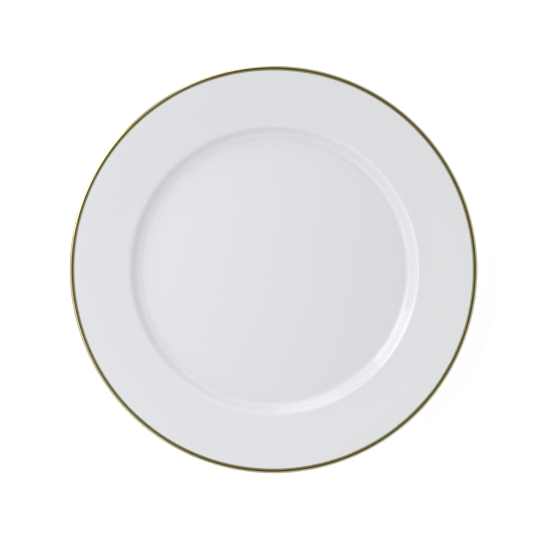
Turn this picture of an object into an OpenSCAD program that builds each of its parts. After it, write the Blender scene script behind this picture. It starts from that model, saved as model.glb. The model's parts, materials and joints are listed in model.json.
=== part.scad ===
// China dinner plate with a wide rim and a gilded lip.
// Four solids: the fired clay body, the two separate areas of glaze on it, and the gilding.
// Origin: centre of the plane that the foot ring stands on. +Z is up. Units are millimetres.

/* [Overall] */
// Diameter over the gilded lip
plate_d = 267; // [220:1:330]
// Height from the foot ring's bearing face to the top of the gilded lip
plate_h = 23; // [19:0.5:29]

/* [Rim and lip] */
// Width of the rim in plan, from the lip's outer edge to the brow of the well
rim_w = 36.8; // [24:0.1:48]
// How much flatter the rim starts at the brow than its mean slope, in degrees
rim_sweep = 3; // [0:0.5:6]
// Thickness of the clay under the brow, where the rim begins
rim_t = 3.6; // [2.8:0.1:4.6]
// Thickness of the clay at the rounded lip
lip_t = 2.6; // [1.8:0.1:3.4]

/* [Well] */
// Height of the brow above the floor of the well
well_depth = 6.8; // [5.5:0.1:9]
// Steepness of the wall of the well, in degrees from level
wall_slope = 52; // [35:1:56]
// Radius of the hollow curve that joins the floor to the wall of the well
well_fillet_r = 8; // [5:0.5:11.5]
// Radius of the brow, where the wall of the well turns over into the rim
brow_r = 6; // [3:0.1:10]
// Radius of the hollow under the brow, on the underside
under_brow_r = 7; // [4:0.1:12]
// Thickness of the clay in the floor
floor_t = 4; // [3:0.1:5.5]

/* [Foot ring] */
// Height of the foot ring below the underside of the clay floor
foot_h = 3; // [2.5:0.1:4.5]
// Width of the flat bearing face of the foot ring
foot_land_w = 1.4; // [0.8:0.1:3]
// Flat underside left between the foot ring's outer root and the start of the well's curve
foot_inset = 3.2; // [0:0.1:14]
// Steepness of the foot ring's outer wall, in degrees from level
foot_outer_slope = 72; // [60:1:80]
// Steepness of the foot ring's inner wall, in degrees from level
foot_inner_slope = 58; // [48:1:80]
// Radius of the rounded edges of the bearing face
foot_tip_r = 0.8; // [0.5:0.1:1]
// Radius of the fillets at the root of the foot ring
foot_root_r = 1.8; // [1:0.1:2]

/* [Glaze] */
// Thickness of the fired glaze
glaze_t = 0.2; // [0.12:0.01:0.4]
// Share of the foot ring's straight walls, from their lower end, that is left bare of glaze
bare_share = 0.35; // [0:0.05:0.6]

/* [Gilding] */
// Thickness of the gilding on the glaze
gold_t = 0.1; // [0.08:0.01:0.2]
// Width of the gilding on the face, measured in from where the lip starts to round over
gold_face_w = 1.4; // [0.4:0.1:8]
// How far round the lip the gilding runs below its outermost point, in degrees
gold_under = 40; // [0:5:70]

/* [Hidden] */

arc_step = 5; // largest turn between two points of an arc, in degrees
sweep_points = 8; // points along each gentle sweep of the rim
nose_points = 3; // steps round the edge of a coat
inward = -180; // heading of a level line that runs towards the axis
$fn = 180;

// The clay's outer contour is the reference. The coats are added outside it.
coats_t = glaze_t + gold_t;
lip_r = lip_t / 2;
lip_centre = [plate_d / 2 - coats_t - lip_r, plate_h - coats_t - lip_r];
brow_edge = [plate_d / 2 - rim_w, foot_h + floor_t + well_depth];
floor_z = foot_h + floor_t;

// Mean slopes of the rim's face and underside, which are also their slopes at the lip.
face_slope = atan2(lip_centre[1] + lip_r - brow_edge[1], lip_centre[0] - brow_edge[0]);
back_slope = atan2(lip_centre[1] - lip_r - brow_edge[1] + rim_t, lip_centre[0] - brow_edge[0]);
brow_slope = face_slope - rim_sweep;

// The wall of the well runs straight between the hollow curve and the brow. This is its width in plan.
curved_rise = well_fillet_r * (1 - cos(wall_slope)) + brow_r * (cos(brow_slope) - cos(wall_slope));
wall_w = (well_depth - curved_rise) / tan(wall_slope);
brow_centre = brow_edge + brow_r * [sin(brow_slope), -cos(brow_slope)];
floor_r = brow_centre[0] - (well_fillet_r + brow_r) * sin(wall_slope) - wall_w;
fillet_centre = [floor_r, floor_z + well_fillet_r];

// The underside of the wall is an arc about the same centre, and meets the hollow under the brow at a
// slope that leaves the clay under the brow rim_t thick.
belly_r = well_fillet_r + floor_t;
up_from_rim = [-sin(brow_slope), cos(brow_slope)];
hollow_gap = (fillet_centre - brow_edge) * up_from_rim + under_brow_r + rim_t;
belly_slope = brow_slope + acos(hollow_gap / (belly_r + under_brow_r));
hollow_centre = fillet_centre + (belly_r + under_brow_r) * [sin(belly_slope), -cos(belly_slope)];

// Plan width and length of one wall of the foot ring, between its tip arc and its root fillet.
function wall_length(slope) = (foot_h - (foot_root_r + foot_tip_r) * (1 - cos(slope))) / sin(slope);
function side_width(slope) = (foot_tip_r + foot_root_r) * sin(slope) + wall_length(slope) * cos(slope);
root_outer_r = floor_r - foot_inset;
land_outer_r = root_outer_r - side_width(foot_outer_slope);
land_inner_r = land_outer_r - foot_land_w;
root_inner_r = land_inner_r - side_width(foot_inner_slope);

// ---- Stations -------------------------------------------------------------------------------
// A station is [radius, height, heading]: a point of the section and the direction of travel there.
// The contour runs clockwise round the right half of the section, so outside is on the left.

// A station moved forward by `along` and outward by `out`.
function shifted(s, along, out) = [
    s[0] + along * cos(s[2]) - out * sin(s[2]),
    s[1] + along * sin(s[2]) + out * cos(s[2])
];

// The points of a run of stations, moved outward by `out`.
function offset_by(stations, out) = [for (s = stations) shifted(s, 0, out)];

function reversed(list) = [for (i = [len(list) - 1:-1:0]) list[i]];

// Stations round an arc from one heading to another. It turns left where the heading grows.
function arc(centre, radius, from, to) =
    let (steps = max(1, ceil(abs(to - from) / arc_step)), side = sign(to - from))
    [for (i = [0:steps])
        let (h = from + (to - from) * i / steps)
        [centre[0] + side * radius * sin(h), centre[1] - side * radius * cos(h), h]];

// Height and slope, at radius r, of the cubic curve from point a to point b with those end slopes.
function sweep_at(a, b, slope_a, slope_b, r) =
    let (run = b[0] - a[0], rise = b[1] - a[1], t = (r - a[0]) / run)
    let (linear = run * tan(slope_a), end = run * tan(slope_b))
    let (square = 3 * rise - 2 * linear - end, cube = linear + end - 2 * rise)
    [a[1] + linear * t + square * t * t + cube * t * t * t,
     atan((linear + 2 * square * t + 3 * cube * t * t) / run)];

// Stations along part of that curve, between two radii. Turn is 0 on the way out and -180 inward.
function sweep(a, b, slope_a, slope_b, r_from, r_to, turn) =
    [for (i = [0:sweep_points])
        let (r = r_from + (r_to - r_from) * i / sweep_points)
        let (at = sweep_at(a, b, slope_a, slope_b, r))
        [r, at[0], at[1] + turn]];

// ---- The contour, piece by piece ------------------------------------------------------------
lip_start = lip_centre + lip_r * [-sin(face_slope), cos(face_slope)];
lip_end = lip_centre + lip_r * [sin(back_slope), -cos(back_slope)];
back_start = hollow_centre + under_brow_r * up_from_rim;
gold_edge_r = lip_start[0] - gold_face_w;
gold_end_heading = -90 - gold_under;

function face_stations(r_from, r_to) =
    sweep(brow_edge, lip_start, brow_slope, face_slope, r_from, r_to, 0);
function well() = concat(
    [[0, floor_z, 0]],
    arc(fillet_centre, well_fillet_r, 0, wall_slope),
    arc(brow_centre, brow_r, wall_slope, brow_slope));
function rim_face() = face_stations(brow_edge[0], gold_edge_r);
function gilded_stretch() = concat(
    face_stations(gold_edge_r, lip_start[0]),
    arc(lip_centre, lip_r, face_slope, gold_end_heading));
function lip_underside() = arc(lip_centre, lip_r, gold_end_heading, inward + back_slope);
function rim_back() =
    sweep(back_start, lip_end, brow_slope, back_slope, lip_end[0], back_start[0], inward);
function belly() = concat(
    arc(hollow_centre, under_brow_r, inward + brow_slope, inward + belly_slope),
    arc(fillet_centre, belly_r, inward + belly_slope, inward));
function outer_root() =
    arc([root_outer_r, foot_h - foot_root_r], foot_root_r, inward, inward + foot_outer_slope);
function foot_tip() = concat(
    arc([land_outer_r, foot_tip_r], foot_tip_r, inward + foot_outer_slope, inward),
    arc([land_inner_r, foot_tip_r], foot_tip_r, inward, inward - foot_inner_slope));
function inner_root() = concat(
    arc([root_inner_r, foot_h - foot_root_r], foot_root_r, inward - foot_inner_slope, inward),
    [[0, foot_h, inward]]);

function coated_outside() =
    concat(well(), rim_face(), gilded_stretch(), lip_underside(), rim_back(), belly(), outer_root());

// The stations where the glaze stops, on the foot ring's outer and inner walls.
function outer_stop() =
    let (root = outer_root(), top = root[len(root) - 1])
    let (at = shifted(top, (1 - bare_share) * wall_length(foot_outer_slope), 0))
    [at[0], at[1], top[2]];
function inner_stop() =
    let (top = inner_root()[0])
    let (at = shifted(top, (bare_share - 1) * wall_length(foot_inner_slope), 0))
    [at[0], at[1], top[2]];

// A coat's quarter-round edge, of thickness t on a base. A rising edge starts at station s, with side 1.
// A falling edge ends there, with side -1, and its points run the other way.
function nose(s, base, t, side) =
    [for (i = [0:nose_points - 1])
        let (a = 90 * i / nose_points)
        shifted(s, side * t * (1 - cos(a)), base + t * sin(a))];
function rising_edge(s, base, t) = nose(s, base, t, 1);
function falling_edge(s, base, t) = reversed(nose(s, base, t, -1));

// Repeated points are dropped, because neighbouring stretches share their end stations.
function distinct(points) = [for (i = [0:len(points) - 1])
    if (norm(points[i] - points[(i + 1) % len(points)]) > 1e-6) points[i]];

// The stations between a coat's two ends, which its edges replace.
function inner_of(stations) = [for (i = [1:len(stations) - 2]) stations[i]];

// ---- Solids ---------------------------------------------------------------------------------
module turned(points) {
    rotate_extrude() polygon(distinct(points));
}

// The clay body: floor, wall, rim, lip and foot ring in one piece. Only the foot ring's tip is bare.
module porcelain_body() {
    color("antiquewhite")
        turned(offset_by(concat(coated_outside(), foot_tip(), inner_root()), 0));
}

// The main area of glaze: the whole face, the lip and the underside down to the foot ring.
module glaze_coat() {
    color("white")
        turned(concat(
            offset_by(coated_outside(), glaze_t),
            falling_edge(outer_stop(), 0, glaze_t),
            reversed(offset_by(coated_outside(), 0))));
}

// The second area of glaze, inside the foot ring.
module base_recess_glaze() {
    color("white")
        turned(concat(
            rising_edge(inner_stop(), 0, glaze_t),
            offset_by(inner_root(), glaze_t),
            reversed(offset_by(inner_root(), 0))));
}

// The gilding: a band round the lip, on top of the glaze.
module gold_rim_band() {
    run = gilded_stretch();
    color("goldenrod")
        turned(concat(
            rising_edge(run[0], glaze_t, gold_t),
            offset_by(inner_of(run), coats_t),
            falling_edge(run[len(run) - 1], glaze_t, gold_t),
            reversed(offset_by(inner_of(run), glaze_t))));
}

porcelain_body();
glaze_coat();
base_recess_glaze();
gold_rim_band();
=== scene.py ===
"""China dinner plate: a turned white porcelain plate with a glossy glaze and a gilded lip.

The section is the CAD model's own, drawn again with finer steps, and turned round +Z. Metres, +Z up.
Four pieces replace the four CAD nodes: the clay body, its two areas of glaze, and the gilding.
"""

import json
import math
from random import Random

import bmesh
import bpy
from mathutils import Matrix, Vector


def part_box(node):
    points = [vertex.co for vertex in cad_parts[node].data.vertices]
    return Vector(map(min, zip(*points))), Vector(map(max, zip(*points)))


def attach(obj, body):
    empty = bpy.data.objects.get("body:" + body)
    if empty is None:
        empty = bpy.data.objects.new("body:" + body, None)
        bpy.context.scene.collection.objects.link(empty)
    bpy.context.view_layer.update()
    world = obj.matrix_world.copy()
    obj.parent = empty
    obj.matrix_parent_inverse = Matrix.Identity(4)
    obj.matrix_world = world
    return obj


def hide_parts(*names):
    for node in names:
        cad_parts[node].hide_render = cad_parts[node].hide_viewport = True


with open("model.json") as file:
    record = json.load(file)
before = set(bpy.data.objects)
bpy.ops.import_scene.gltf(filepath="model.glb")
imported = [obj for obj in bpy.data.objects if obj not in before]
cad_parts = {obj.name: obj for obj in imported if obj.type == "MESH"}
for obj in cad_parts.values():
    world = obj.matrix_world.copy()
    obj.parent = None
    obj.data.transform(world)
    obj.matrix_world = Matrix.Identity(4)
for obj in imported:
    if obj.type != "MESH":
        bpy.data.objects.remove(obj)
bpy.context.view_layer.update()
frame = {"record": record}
record = frame["record"]

MM = 0.001

# ---- Sizes ----------------------------------------------------------------------------------


def widest(node):
    """Largest radius of a node that is round about +Z."""
    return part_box(node)[1][0]


def mount(name):
    """Where a mount of the record is."""
    return next(m["pos_m"] for m in record["mounts"] if m["name"] == name)


# From the frame
PLATE_R = widest("gold_rim_band")
PLATE_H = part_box("gold_rim_band")[1][2]
GLAZE_T = widest("glaze_coat") - widest("porcelain_body")
GOLD_T = widest("gold_rim_band") - widest("glaze_coat")
FLOOR_Z = mount("well_floor")[2] - GLAZE_T
FOOT_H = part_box("base_recess_glaze")[1][2]
FOOT_R = math.hypot(*mount("foot_ring")[:2])

# The rest of the section, as in the CAD model
RIM_W = 36.8 * MM
RIM_SWEEP = 3
RIM_T = 3.6 * MM
LIP_R = 1.3 * MM
WELL_DEPTH = 6.8 * MM
WALL_SLOPE = 52
WELL_FILLET_R = 8 * MM
BROW_R = 6 * MM
UNDER_BROW_R = 7 * MM
FOOT_LAND_W = 1.4 * MM
FOOT_OUTER_SLOPE = 72
FOOT_INNER_SLOPE = 58
FOOT_TIP_R = 0.8 * MM
FOOT_ROOT_R = 1.8 * MM
BARE_SHARE = 0.35
GOLD_FACE_W = 1.4 * MM
GOLD_UNDER = 40

# How finely the pieces are turned
SEGMENTS = 360  # steps round the plate
ARC_STEP = 2.5  # largest turn between two points of an arc, in degrees
SWEEP_POINTS = 18  # steps along each gentle sweep of the rim
LIP_POINTS = 50  # steps round the gilded part of the lip
FLAT_RINGS = 9  # rings on a level stretch
EDGE_POINTS = 4  # steps round the edge of a coat
HIDDEN_GAP = 0.01 * MM  # between surfaces that would otherwise share one place
SAME_POINT = 1e-8  # points closer than this are one
ON_AXIS = 1e-7  # a point with a smaller radius than this is on the axis

# How the gilding ends: how wide and how thin its feather edge is, and how far its edges wander, on the
# face in metres and under the lip in degrees round it
FEATHER = 1.0 * MM
FILM = 0.015 * MM
INNER_WANDER = 0.09 * MM
OUTER_WANDER = 4

# How far the fired plate strays from a true round: in height, and in radius
WARP = 0.12 * MM
OVAL = 0.05 * MM

# ---- The section ----------------------------------------------------------------------------
# A station is (radius, height, heading in degrees). The contour runs clockwise round the right
# half of the section: out along the face, round the lip and back along the underside.

INWARD = -180


def sin(degrees):
    """Sine of an angle in degrees, as in the CAD model."""
    return math.sin(math.radians(degrees))


def cos(degrees):
    return math.cos(math.radians(degrees))


def tan(degrees):
    return math.tan(math.radians(degrees))


def slope_between(a, b):
    """Slope in degrees of the line from one (radius, height) to another."""
    return math.degrees(math.atan2(b[1] - a[1], b[0] - a[0]))


def shifted(station, along, out):
    """The point of a station, moved forward along its heading and outward to its left."""
    r, z, heading = station
    return (
        r + along * cos(heading) - out * sin(heading),
        z + along * sin(heading) + out * cos(heading),
    )


def offset_by(stations, out):
    """The points of a run of stations, all moved outward."""
    return [shifted(s, 0, out) for s in stations]


def arc(centre, radius, start, end, steps=None):
    """Stations round an arc from one heading to another. It turns left where the heading grows."""
    steps = steps or max(1, math.ceil(abs(end - start) / ARC_STEP))
    side = math.copysign(1, end - start)
    stations = []
    for i in range(steps + 1):
        h = start + (end - start) * i / steps
        stations.append((centre[0] + side * radius * sin(h), centre[1] - side * radius * cos(h), h))
    return stations


def sweep(a, b, slope_a, slope_b, r_from, r_to, turn):
    """Stations along the cubic curve from a to b with those end slopes, between two radii."""
    run, rise = b[0] - a[0], b[1] - a[1]
    linear, end = run * tan(slope_a), run * tan(slope_b)
    square, cube = 3 * rise - 2 * linear - end, linear + end - 2 * rise
    stations = []
    for i in range(SWEEP_POINTS + 1):
        r = r_from + (r_to - r_from) * i / SWEEP_POINTS
        t = (r - a[0]) / run
        z = a[1] + linear * t + square * t**2 + cube * t**3
        slope = math.degrees(math.atan((linear + 2 * square * t + 3 * cube * t * t) / run))
        stations.append((r, z, slope + turn))
    return stations


LIP_CENTRE = (PLATE_R - GLAZE_T - GOLD_T - LIP_R, PLATE_H - GLAZE_T - GOLD_T - LIP_R)
BROW_EDGE = (PLATE_R - RIM_W, FLOOR_Z + WELL_DEPTH)
FACE_SLOPE = slope_between(BROW_EDGE, (LIP_CENTRE[0], LIP_CENTRE[1] + LIP_R))
BACK_SLOPE = slope_between((BROW_EDGE[0], BROW_EDGE[1] - RIM_T), (LIP_CENTRE[0], LIP_CENTRE[1] - LIP_R))
BROW_SLOPE = FACE_SLOPE - RIM_SWEEP

CURVED_RISE = WELL_FILLET_R * (1 - cos(WALL_SLOPE)) + BROW_R * (cos(BROW_SLOPE) - cos(WALL_SLOPE))
WALL_W = (WELL_DEPTH - CURVED_RISE) / tan(WALL_SLOPE)
BROW_CENTRE = (BROW_EDGE[0] + BROW_R * sin(BROW_SLOPE), BROW_EDGE[1] - BROW_R * cos(BROW_SLOPE))
FLOOR_R = BROW_CENTRE[0] - (WELL_FILLET_R + BROW_R) * sin(WALL_SLOPE) - WALL_W
FILLET_CENTRE = (FLOOR_R, FLOOR_Z + WELL_FILLET_R)

BELLY_R = WELL_FILLET_R + FLOOR_Z - FOOT_H
HOLLOW_GAP = (
    (FILLET_CENTRE[1] - BROW_EDGE[1]) * cos(BROW_SLOPE)
    - (FILLET_CENTRE[0] - BROW_EDGE[0]) * sin(BROW_SLOPE)
    + UNDER_BROW_R
    + RIM_T
)
BELLY_SLOPE = BROW_SLOPE + math.degrees(math.acos(HOLLOW_GAP / (BELLY_R + UNDER_BROW_R)))
HOLLOW_CENTRE = (
    FILLET_CENTRE[0] + (BELLY_R + UNDER_BROW_R) * sin(BELLY_SLOPE),
    FILLET_CENTRE[1] - (BELLY_R + UNDER_BROW_R) * cos(BELLY_SLOPE),
)

LIP_START = (LIP_CENTRE[0] - LIP_R * sin(FACE_SLOPE), LIP_CENTRE[1] + LIP_R * cos(FACE_SLOPE))
LIP_END = (LIP_CENTRE[0] + LIP_R * sin(BACK_SLOPE), LIP_CENTRE[1] - LIP_R * cos(BACK_SLOPE))
BACK_START = (
    HOLLOW_CENTRE[0] - UNDER_BROW_R * sin(BROW_SLOPE),
    HOLLOW_CENTRE[1] + UNDER_BROW_R * cos(BROW_SLOPE),
)
GOLD_EDGE_R = LIP_START[0] - GOLD_FACE_W
GOLD_END = -90 - GOLD_UNDER


def wall_length(slope):
    """Length of the straight part of a foot wall of that slope, between its tip and root curves."""
    return (FOOT_H - (FOOT_ROOT_R + FOOT_TIP_R) * (1 - cos(slope))) / sin(slope)


def side_width(slope):
    """How far sideways a foot wall of that slope reaches, from the bearing face's edge to its root."""
    return (FOOT_TIP_R + FOOT_ROOT_R) * sin(slope) + wall_length(slope) * cos(slope)


LAND_OUTER_R = FOOT_R + FOOT_LAND_W / 2
LAND_INNER_R = FOOT_R - FOOT_LAND_W / 2
ROOT_OUTER_R = LAND_OUTER_R + side_width(FOOT_OUTER_SLOPE)
ROOT_INNER_R = LAND_INNER_R - side_width(FOOT_INNER_SLOPE)


def flat(z, r_from, r_to, heading):
    """Stations along a level stretch, so that a wide flat has rings of its own."""
    step = (r_to - r_from) / FLAT_RINGS
    return [(r_from + step * i, z, heading) for i in range(FLAT_RINGS)]


def face_stations(r_from, r_to):
    """Stations along the rim's face, between two radii."""
    return sweep(BROW_EDGE, LIP_START, BROW_SLOPE, FACE_SLOPE, r_from, r_to, 0)


def face():
    """The face from the axis to the gilding."""
    return (
        flat(FLOOR_Z, 0, FLOOR_R, 0)
        + arc(FILLET_CENTRE, WELL_FILLET_R, 0, WALL_SLOPE)
        + arc(BROW_CENTRE, BROW_R, WALL_SLOPE, BROW_SLOPE)
        + face_stations(BROW_EDGE[0], GOLD_EDGE_R)
    )


def gilded(edge_r=GOLD_EDGE_R, end=GOLD_END):
    """The lip and the part of the face inside it, as far as the gilding goes."""
    lip = arc(LIP_CENTRE, LIP_R, FACE_SLOPE, end, LIP_POINTS)
    return face_stations(edge_r, LIP_START[0])[:-1] + lip


def back():
    """The underside from the gilding to the foot ring's outer wall."""
    return (
        arc(LIP_CENTRE, LIP_R, GOLD_END, INWARD + BACK_SLOPE)
        + sweep(BACK_START, LIP_END, BROW_SLOPE, BACK_SLOPE, LIP_END[0], BACK_START[0], INWARD)
        + arc(HOLLOW_CENTRE, UNDER_BROW_R, INWARD + BROW_SLOPE, INWARD + BELLY_SLOPE)
        + arc(FILLET_CENTRE, BELLY_R, INWARD + BELLY_SLOPE, INWARD)
        + arc((ROOT_OUTER_R, FOOT_H - FOOT_ROOT_R), FOOT_ROOT_R, INWARD, INWARD + FOOT_OUTER_SLOPE)
    )


def foot_tip():
    """The foot ring's bare tip, with its flat bearing face between two curves."""
    outer = arc((LAND_OUTER_R, FOOT_TIP_R), FOOT_TIP_R, INWARD + FOOT_OUTER_SLOPE, INWARD)
    return outer + arc((LAND_INNER_R, FOOT_TIP_R), FOOT_TIP_R, INWARD, INWARD - FOOT_INNER_SLOPE)


def recess():
    """The underside inside the foot ring, from its inner wall to the axis."""
    root = arc((ROOT_INNER_R, FOOT_H - FOOT_ROOT_R), FOOT_ROOT_R, INWARD - FOOT_INNER_SLOPE, INWARD)
    return root + flat(FOOT_H, ROOT_INNER_R, 0, INWARD)[1:] + [(0, FOOT_H, INWARD)]


def stop_on_wall(top, along):
    """The station a distance along a foot wall, where a coat of glaze stops."""
    r, z = shifted(top, along, 0)
    return (r, z, top[2])


def edge(station, base, thick, side):
    """A coat's quarter-round edge. A rising one has side 1, a falling one side -1."""
    points = []
    for i in range(EDGE_POINTS):
        a = 90 * i / EDGE_POINTS
        points.append(shifted(station, side * thick * (1 - cos(a)), base + thick * sin(a)))
    return points if side > 0 else points[::-1]


# ---- Turning --------------------------------------------------------------------------------


def strayed(r, z, angle):
    """A point of the true section, moved as drying and firing move it. The foot ring stays true."""
    free = max(0.0, (r - FOOT_R) / (PLATE_R - FOOT_R)) ** 1.5
    lift = WARP * free * (0.6 * math.cos(2 * angle + 0.7) + 0.4 * math.cos(3 * angle + 2.1) - 1)
    spread = OVAL * free * (math.cos(2 * angle - 0.4) - 1)
    return (r + spread) * math.cos(angle), (r + spread) * math.sin(angle), z + lift


def distinct(points):
    """Neighbouring stretches share their end points. Each is kept once."""
    kept = []
    for p in points:
        if not kept or math.dist(p, kept[-1]) > SAME_POINT:
            kept.append(p)
    return kept[:-1] if math.dist(kept[0], kept[-1]) < SAME_POINT else kept


def turned(name, section):
    """A closed solid: section(angle) gives the loop of (radius, height) at each angle round +Z."""
    mesh = bpy.data.meshes.new(name)
    bm = bmesh.new()
    rings = []
    for i in range(SEGMENTS):
        angle = 2 * math.pi * i / SEGMENTS
        rings.append([(r, z, angle) for r, z in section(angle)])
    count = len(rings[0])
    on_axis = {}
    for k in range(count):
        if rings[0][k][0] < ON_AXIS:
            on_axis[k] = bm.verts.new((0, 0, rings[0][k][1]))
    verts = []
    for ring in rings:
        verts.append([on_axis.get(k) or bm.verts.new(strayed(*ring[k])) for k in range(count)])
    for i in range(SEGMENTS):
        here, there = verts[i], verts[(i + 1) % SEGMENTS]
        for k in range(count):
            corners = []
            for v in (here[k], here[(k + 1) % count], there[(k + 1) % count], there[k]):
                if v not in corners:
                    corners.append(v)
            if len(corners) > 2:
                bm.faces.new(corners)
    bmesh.ops.recalc_face_normals(bm, faces=bm.faces)
    for f in bm.faces:
        f.smooth = True
    bm.to_mesh(mesh)
    bm.free()
    piece = bpy.data.objects.new(name, mesh)
    bpy.context.scene.collection.objects.link(piece)
    return piece


def finished(piece, node, material):
    """Puts a piece in its node's place, with its material."""
    piece.data.materials.append(material)
    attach(piece, "root")
    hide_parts(node)


# ---- Materials ------------------------------------------------------------------------------


# Places of a mix node's colour sockets, which share their names with its other sockets
COLOUR_A, COLOUR_B = 6, 7
MIXED_COLOUR = 2

# How close the marks lie: across them per metre, along them per radian round the plate
STREAKS_ACROSS, STREAKS_ALONG = 5200, 14
SCRATCHES_ACROSS, SCRATCHES_ALONG = 9000, 8


class Nodes:
    """Short names for building one material's node tree."""

    def __init__(self, name):
        self.material = bpy.data.materials.new(name)
        self.material.use_nodes = True
        self.tree = self.material.node_tree
        self.shader = self.tree.nodes["Principled BSDF"]
        self.place = self.new("ShaderNodeTexCoord").outputs["Object"]

    def new(self, kind, **settings):
        node = self.tree.nodes.new(kind)
        for key, value in settings.items():
            setattr(node, key, value)
        return node

    def put(self, value, socket):
        """Links a socket's value in, or sets a plain one."""
        if isinstance(value, bpy.types.NodeSocket):
            self.tree.links.new(value, socket)
        else:
            socket.default_value = value

    def math(self, operation, *values):
        node = self.new("ShaderNodeMath", operation=operation)
        for value, socket in zip(values, node.inputs):
            self.put(value, socket)
        return node.outputs[0]

    def noise(self, size, detail, at=None):
        """Noise from 0 to 1 whose features are about that many metres across."""
        node = self.new("ShaderNodeTexNoise")
        self.put(at or self.place, node.inputs["Vector"])
        node.inputs["Scale"].default_value = 1 / size
        node.inputs["Detail"].default_value = detail
        return node.outputs["Fac"]

    def between(self, value, low, high, to_low=0.0, to_high=1.0):
        """The value mapped smoothly from one range to another, and kept inside it."""
        node = self.new("ShaderNodeMapRange", interpolation_type="SMOOTHSTEP")
        for v, socket in zip((value, low, high, to_low, to_high), node.inputs):
            self.put(v, socket)
        return node.outputs["Result"]

    def mix(self, amount, colour_a, colour_b):
        node = self.new("ShaderNodeMix", data_type="RGBA")
        self.put(amount, node.inputs["Factor"])
        for colour, key in ((colour_a, COLOUR_A), (colour_b, COLOUR_B)):
            self.put(colour if isinstance(colour, bpy.types.NodeSocket) else (*colour, 1), node.inputs[key])
        return node.outputs[MIXED_COLOUR]

    def polar(self):
        """Radius, angle and height of the shaded point."""
        parts = self.new("ShaderNodeSeparateXYZ")
        self.put(self.place, parts.inputs[0])
        x, y, z = parts.outputs
        squares = self.math("ADD", self.math("MULTIPLY", x, x), self.math("MULTIPLY", y, y))
        radius = self.math("SQRT", squares)
        angle = self.math("ARCTAN2", y, x)
        return radius, angle, z

    def vector(self, x, y, z):
        node = self.new("ShaderNodeCombineXYZ")
        for value, socket in zip((x, y, z), node.inputs):
            self.put(value, socket)
        return node.outputs[0]

    def bump(self, *layers):
        """Bump from (height from 0 to 1, how many metres that is) layers."""
        normal = None
        for height, depth in layers:
            node = self.new("ShaderNodeBump")
            node.inputs["Strength"].default_value = 1.0
            node.inputs["Distance"].default_value = depth
            self.put(height, node.inputs["Height"])
            if normal:
                self.put(normal, node.inputs["Normal"])
            normal = node.outputs["Normal"]
        self.put(normal, self.shader.inputs["Normal"])

    def set(self, **values):
        for key, value in values.items():
            self.put(value, self.shader.inputs[key.replace("_", " ")])


def glaze_material():
    """Glossy clear glaze on white porcelain: a touch blue, and bluer in the well, where it pools."""
    n = Nodes("glazed_porcelain")
    radius = n.polar()[0]
    cloud = n.noise(70 * MM, 3)
    on_rim = n.mix(cloud, (0.742, 0.755, 0.777), (0.756, 0.763, 0.780))
    in_well = n.mix(cloud, (0.746, 0.762, 0.793), (0.760, 0.770, 0.795))
    well_share = n.between(radius, FLOOR_R - 8 * MM, BROW_EDGE[0], 1.0, 0.0)
    n.put(n.mix(well_share, on_rim, in_well), n.shader.inputs["Base Color"])
    haze = n.between(n.noise(22 * MM, 4), 0.45, 0.75, 0.055, 0.085)
    n.put(haze, n.shader.inputs["Roughness"])
    n.set(IOR=1.52)
    ring_width = 7 * MM
    rings = n.math("SINE", n.math("MULTIPLY", radius, 2 * math.pi / ring_width))
    rings = n.math("MULTIPLY", n.math("ADD", rings, 1.0), n.noise(45 * MM, 1))
    n.bump((n.noise(18 * MM, 2), 0.018 * MM), (rings, 0.0012 * MM), (n.noise(1.6 * MM, 1), 0.0016 * MM))
    return n.material


def bisque_material():
    """Bare fired clay, ground flat on the bearing face and a little grey from use."""
    n = Nodes("bisque_porcelain")
    radius, angle, z = n.polar()
    grain = n.noise(0.35 * MM, 3)
    body = n.mix(grain, (0.70, 0.67, 0.62), (0.80, 0.78, 0.73))
    near_table = n.between(z, 0.0, 0.35 * MM, 1.0, 0.0)
    patches = n.between(n.noise(9 * MM, 4), 0.35, 0.7, 0.15, 0.7)
    soil = n.math("MULTIPLY", near_table, patches)
    n.put(n.mix(soil, body, (0.46, 0.44, 0.41)), n.shader.inputs["Base Color"])
    n.put(n.between(grain, 0.2, 0.8, 0.62, 0.85), n.shader.inputs["Roughness"])
    across = n.math("MULTIPLY", radius, SCRATCHES_ACROSS)
    along = n.math("MULTIPLY", angle, SCRATCHES_ALONG)
    scratches = n.noise(1.0, 2, at=n.vector(across, along, 0.0))
    n.bump((grain, 0.02 * MM), (scratches, 0.015 * MM))
    return n.material


def gilding_material():
    """Fired gold laid on with a brush, so its streaks run round the plate. Handling has rubbed the lip."""
    n = Nodes("fired_gold")
    radius, angle, z = n.polar()
    across = n.math("MULTIPLY", radius, STREAKS_ACROSS)
    along = n.math("MULTIPLY", angle, STREAKS_ALONG)
    up = n.math("MULTIPLY", z, STREAKS_ACROSS)
    streaks = n.noise(1.0, 3, at=n.vector(across, along, up))
    cloud = n.noise(9 * MM, 3)
    gold = n.mix(streaks, (0.465, 0.425, 0.21), (0.625, 0.57, 0.305))
    gold = n.mix(n.between(cloud, 0.35, 0.75, 0.0, 0.35), gold, (0.45, 0.397, 0.19))
    reached = n.between(radius, PLATE_R - 1.5 * MM, PLATE_R - 0.4 * MM)
    rubbed = n.math("MULTIPLY", reached, n.between(cloud, 0.3, 0.6, 0.5, 0.9))
    gold = n.mix(rubbed, gold, (0.49, 0.47, 0.36))
    n.put(gold, n.shader.inputs["Base Color"])
    n.set(Metallic=1.0)
    n.put(n.between(streaks, 0.2, 0.8, 0.10, 0.19), n.shader.inputs["Roughness"])
    n.bump((streaks, 0.004 * MM), (n.noise(4 * MM, 2), 0.006 * MM))
    return n.material


# ---- The plate ------------------------------------------------------------------------------


def body_section():
    """The clay, a hair below the glaze where the glaze covers it."""
    under = offset_by(face() + gilded() + back(), -HIDDEN_GAP)
    loop = distinct(under + offset_by(foot_tip(), 0) + offset_by(recess(), -HIDDEN_GAP))
    return lambda angle: loop


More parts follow.
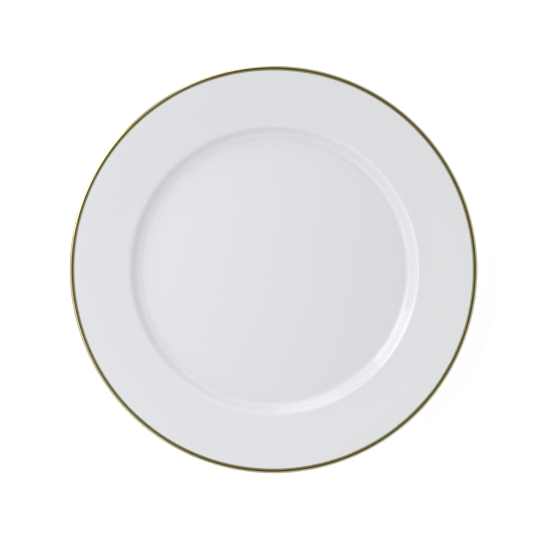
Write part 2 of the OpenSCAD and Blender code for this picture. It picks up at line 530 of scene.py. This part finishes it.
def glaze_section():
    """The main area of glaze, from the axis over the lip to the foot ring's outer wall."""
    outside = face() + gilded() + back()
    stop = stop_on_wall(outside[-1], (1 - BARE_SHARE) * wall_length(FOOT_OUTER_SLOPE))
    inside = offset_by(outside[::-1], 0)
    loop = distinct(offset_by(outside, GLAZE_T) + edge(stop, 0, GLAZE_T, -1) + inside)
    return lambda angle: loop


def recess_section():
    """The glaze inside the foot ring."""
    outside = recess()
    stop = stop_on_wall(outside[0], (BARE_SHARE - 1) * wall_length(FOOT_INNER_SLOPE))
    loop = distinct(edge(stop, 0, GLAZE_T, 1) + offset_by(outside, GLAZE_T) + offset_by(outside[::-1], 0))
    return lambda angle: loop


def brush_wander(seed):
    """How far a hand-laid line strays at each angle round the plate, from -1 to 1."""
    rng = Random(seed)
    counts_and_sizes = ((3, 0.4), (8, 0.3), (21, 0.2), (55, 0.1))
    waves = [(count, rng.uniform(0, 2 * math.pi), size) for count, size in counts_and_sizes]
    return lambda angle: sum(size * math.sin(count * angle + phase) for count, phase, size in waves)


def gold_section():
    """The gilding thins to a feather edge on the face, along a line that a brush has left."""
    inner, outer = brush_wander(3), brush_wander(8)

    def section(angle):
        run = gilded(GOLD_EDGE_R + INNER_WANDER * inner(angle), GOLD_END + OUTER_WANDER * outer(angle))
        top = []
        for station in run:
            share = min(1.0, (station[0] - run[0][0]) / FEATHER) if station[1] > LIP_CENTRE[1] else 1.0
            thick = FILM + (GOLD_T - FILM) * share * share * (3 - 2 * share)
            top.append(shifted(station, 0, GLAZE_T + thick))
        return top + offset_by(run[::-1], GLAZE_T - HIDDEN_GAP)

    return section


# The two areas of glaze share one material
glaze = glaze_material()
finished(turned("clay_body", body_section()), "porcelain_body", bisque_material())
finished(turned("glaze_main", glaze_section()), "glaze_coat", glaze)
finished(turned("glaze_in_foot", recess_section()), "base_recess_glaze", glaze)
finished(turned("gilded_lip", gold_section()), "gold_rim_band", gilding_material())

# ---- Studio ---------------------------------------------------------------------------------

scene = bpy.context.scene
scene.view_settings.view_transform = "Standard"

FLOOR_HALF = 4.0
# The room's brightness: (elevation in degrees, level), in rising order
ROOM_LEVELS = ((0, 1.0), (6, 0.72), (20, 0.77), (40, 1.45), (60, 0.24), (75, 0.07))
# Soft lamps: name, azimuth, elevation, distance, size, watts
LAMPS = (
    ("key_low", 150, 15, 1.0, 0.45, 1.2),
    ("key_high", 155, 40, 1.0, 0.45, 1.15),
    ("side", 105, 15, 1.0, 0.45, 1.1),
    ("near_upper", 135, 50, 0.4, 0.24, 0.12),
    ("near_left", 175, 50, 0.4, 0.24, 0.13),
    ("near_lower", 215, 50, 0.4, 0.24, 0.12),
)


def studio_floor():
    """A white floor that glows a little, so that it stays white round the plate."""
    mesh = bpy.data.meshes.new("studio_floor")
    corners = [(-1, -1), (1, -1), (1, 1), (-1, 1)]
    mesh.from_pydata([(x * FLOOR_HALF, y * FLOOR_HALF, 0) for x, y in corners], [], [(0, 1, 2, 3)])
    floor = bpy.data.objects.new("studio_floor", mesh)
    scene.collection.objects.link(floor)
    n = Nodes("white_sweep")
    n.set(Base_Color=(0.9, 0.9, 0.9, 1), Roughness=0.9, Emission_Color=(1, 1, 1, 1), Emission_Strength=0.37)
    mesh.materials.append(n.material)


def softbox(name, azimuth, elevation, distance, size, watts):
    """A square soft light that faces the plate. Azimuth is counted from +X towards +Y."""
    data = bpy.data.lights.new(name, "AREA")
    data.shape = "SQUARE"
    data.size = size
    data.energy = watts
    lamp = bpy.data.objects.new(name, data)
    away = Vector((cos(elevation) * cos(azimuth), cos(elevation) * sin(azimuth), sin(elevation)))
    lamp.location = away * distance
    lamp.rotation_euler = away.to_track_quat("Z", "Y").to_euler()
    lamp.visible_camera = False
    scene.collection.objects.link(lamp)


def studio_world():
    """Bright all round and dark overhead, as in a white room with the camera above the plate."""
    world = bpy.data.worlds.new("white_room")
    scene.world = world
    world.use_nodes = True
    tree = world.node_tree
    place = tree.nodes.new("ShaderNodeTexCoord")
    parts = tree.nodes.new("ShaderNodeSeparateXYZ")
    ramp = tree.nodes.new("ShaderNodeValToRGB")
    tree.links.new(place.outputs["Generated"], parts.inputs[0])
    tree.links.new(parts.outputs[2], ramp.inputs[0])
    tree.links.new(ramp.outputs[0], tree.nodes["Background"].inputs["Color"])
    stops = ramp.color_ramp.elements
    for stop, (elevation, level) in zip((stops[0], stops[1]), (ROOM_LEVELS[0], ROOM_LEVELS[-1])):
        stop.position, stop.color = sin(elevation), (level, level, level, 1)
    for elevation, level in ROOM_LEVELS[1:-1]:
        stops.new(sin(elevation)).color = (level, level, level, 1)


CAMERA_HEIGHT = 1.5
PLATE_SHARE = 0.7425  # of the picture's width
LOOK_AT = (1.0 * MM, -3.6 * MM)  # where the picture's centre meets the floor


def camera():
    """A camera straight above, far enough away for the plate to look flat."""
    data = bpy.data.cameras.new("overhead")
    above_lip = CAMERA_HEIGHT - LIP_CENTRE[1]
    data.sensor_width = 36
    data.lens = data.sensor_width * above_lip * PLATE_SHARE / (2 * PLATE_R)
    data.clip_start = 0.01
    data.clip_end = 50
    cam = bpy.data.objects.new("overhead", data)
    cam.location = (*LOOK_AT, CAMERA_HEIGHT)
    scene.collection.objects.link(cam)
    scene.camera = cam


studio_floor()
studio_world()
for lamp in LAMPS:
    softbox(*lamp)
camera()
